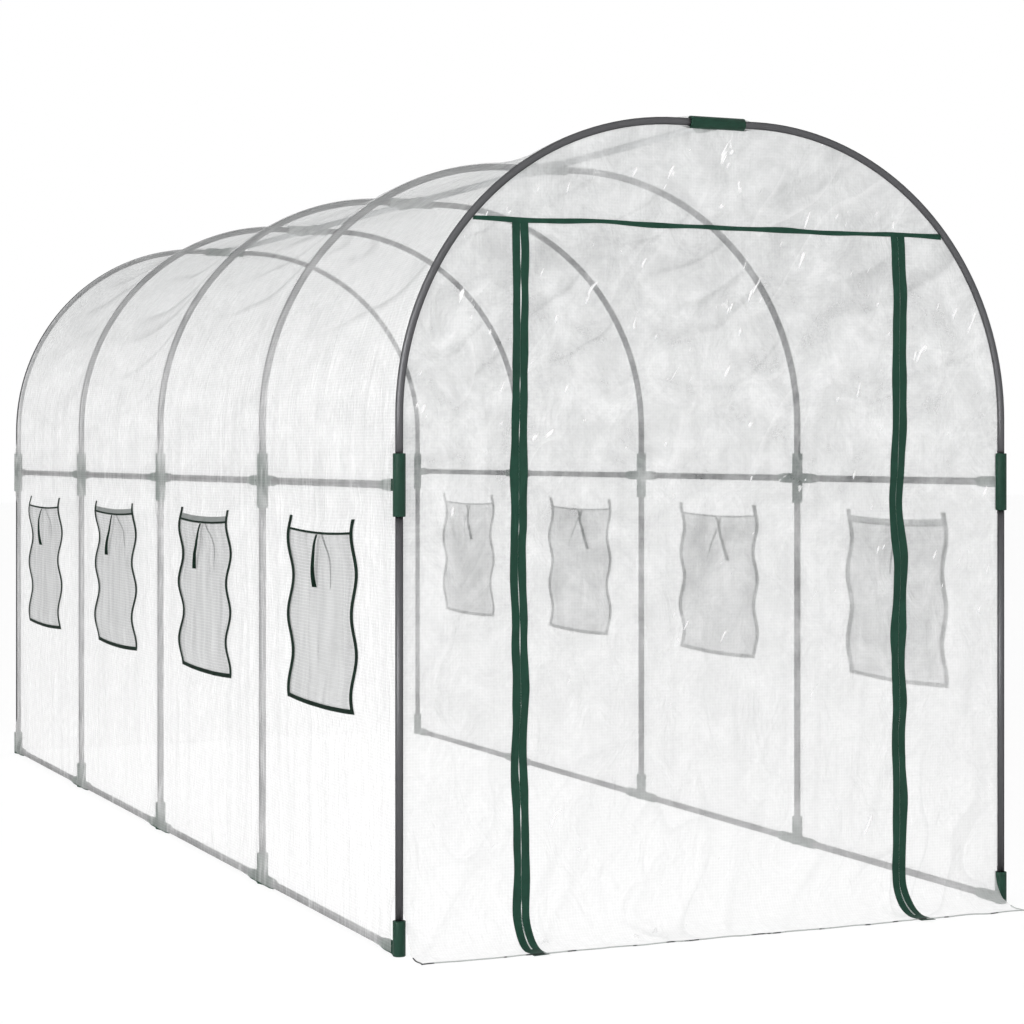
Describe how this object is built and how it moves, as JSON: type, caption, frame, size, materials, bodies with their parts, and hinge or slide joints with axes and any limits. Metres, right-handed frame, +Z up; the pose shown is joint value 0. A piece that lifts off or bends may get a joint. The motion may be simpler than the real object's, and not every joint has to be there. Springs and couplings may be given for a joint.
{
  "type": "polytunnel greenhouse",
  "caption": "Walk-in polytunnel greenhouse: arched tube hoops joined by push-fit rails under a translucent film cover with a zipped door sheet and mesh side windows.",
  "frame": {"origin": "on the ground in the middle of the footprint", "axes": "+Z up, +Y along the tunnel from the door end to the back end, +X across it to the right of someone who faces the door"},
  "size_m": [2.0278, 5.234, 2.3683],
  "materials": {
    "frame_tube": "dark grey satin powder coat",
    "connector_plastic": "dark green moulded plastic, satin",
    "cover_film": "milky reinforced film with a fine grid",
    "end_film": "clear cloudy film, lightly creased",
    "window_mesh": "fine insect mesh",
    "binding_tape": "dark green woven tape"
  },
  "bodies": {
    "root": {"hoop_1_arch": "frame_tube", "hoop_2_arch": "frame_tube", "hoop_3_arch": "frame_tube", "hoop_4_arch": "frame_tube", "hoop_5_arch": "frame_tube", "left_legs": "frame_tube", "right_legs": "frame_tube", "ridge_rails": "frame_tube", "left_side_rails": "frame_tube", "right_side_rails": "frame_tube", "left_base_rails": "frame_tube", "right_base_rails": "frame_tube", "crown_connectors": "connector_plastic", "left_side_connectors": "connector_plastic", "right_side_connectors": "connector_plastic", "left_base_connectors": "connector_plastic", "right_base_connectors": "connector_plastic", "roof_sheet_1": "cover_film", "roof_sheet_2": "cover_film", "roof_sheet_3": "cover_film", "roof_sheet_4": "cover_film", "left_wall_sheet_1": "cover_film", "left_wall_sheet_2": "cover_film", "left_wall_sheet_3": "cover_film", "left_wall_sheet_4": "cover_film", "right_wall_sheet_1": "cover_film", "right_wall_sheet_2": "cover_film", "right_wall_sheet_3": "cover_film", "right_wall_sheet_4": "cover_film", "front_gable_sheet": "end_film", "front_left_sheet": "end_film", "front_right_sheet": "end_film", "door_sheet": "end_film", "back_sheet": "end_film", "left_window_meshes": "window_mesh", "right_window_meshes": "window_mesh", "left_window_bindings": "binding_tape", "right_window_bindings": "binding_tape", "left_window_ties": "binding_tape", "right_window_ties": "binding_tape", "left_door_zip": "binding_tape", "right_door_zip": "binding_tape", "header_tape": "binding_tape"}
  },
  "joints": []
}
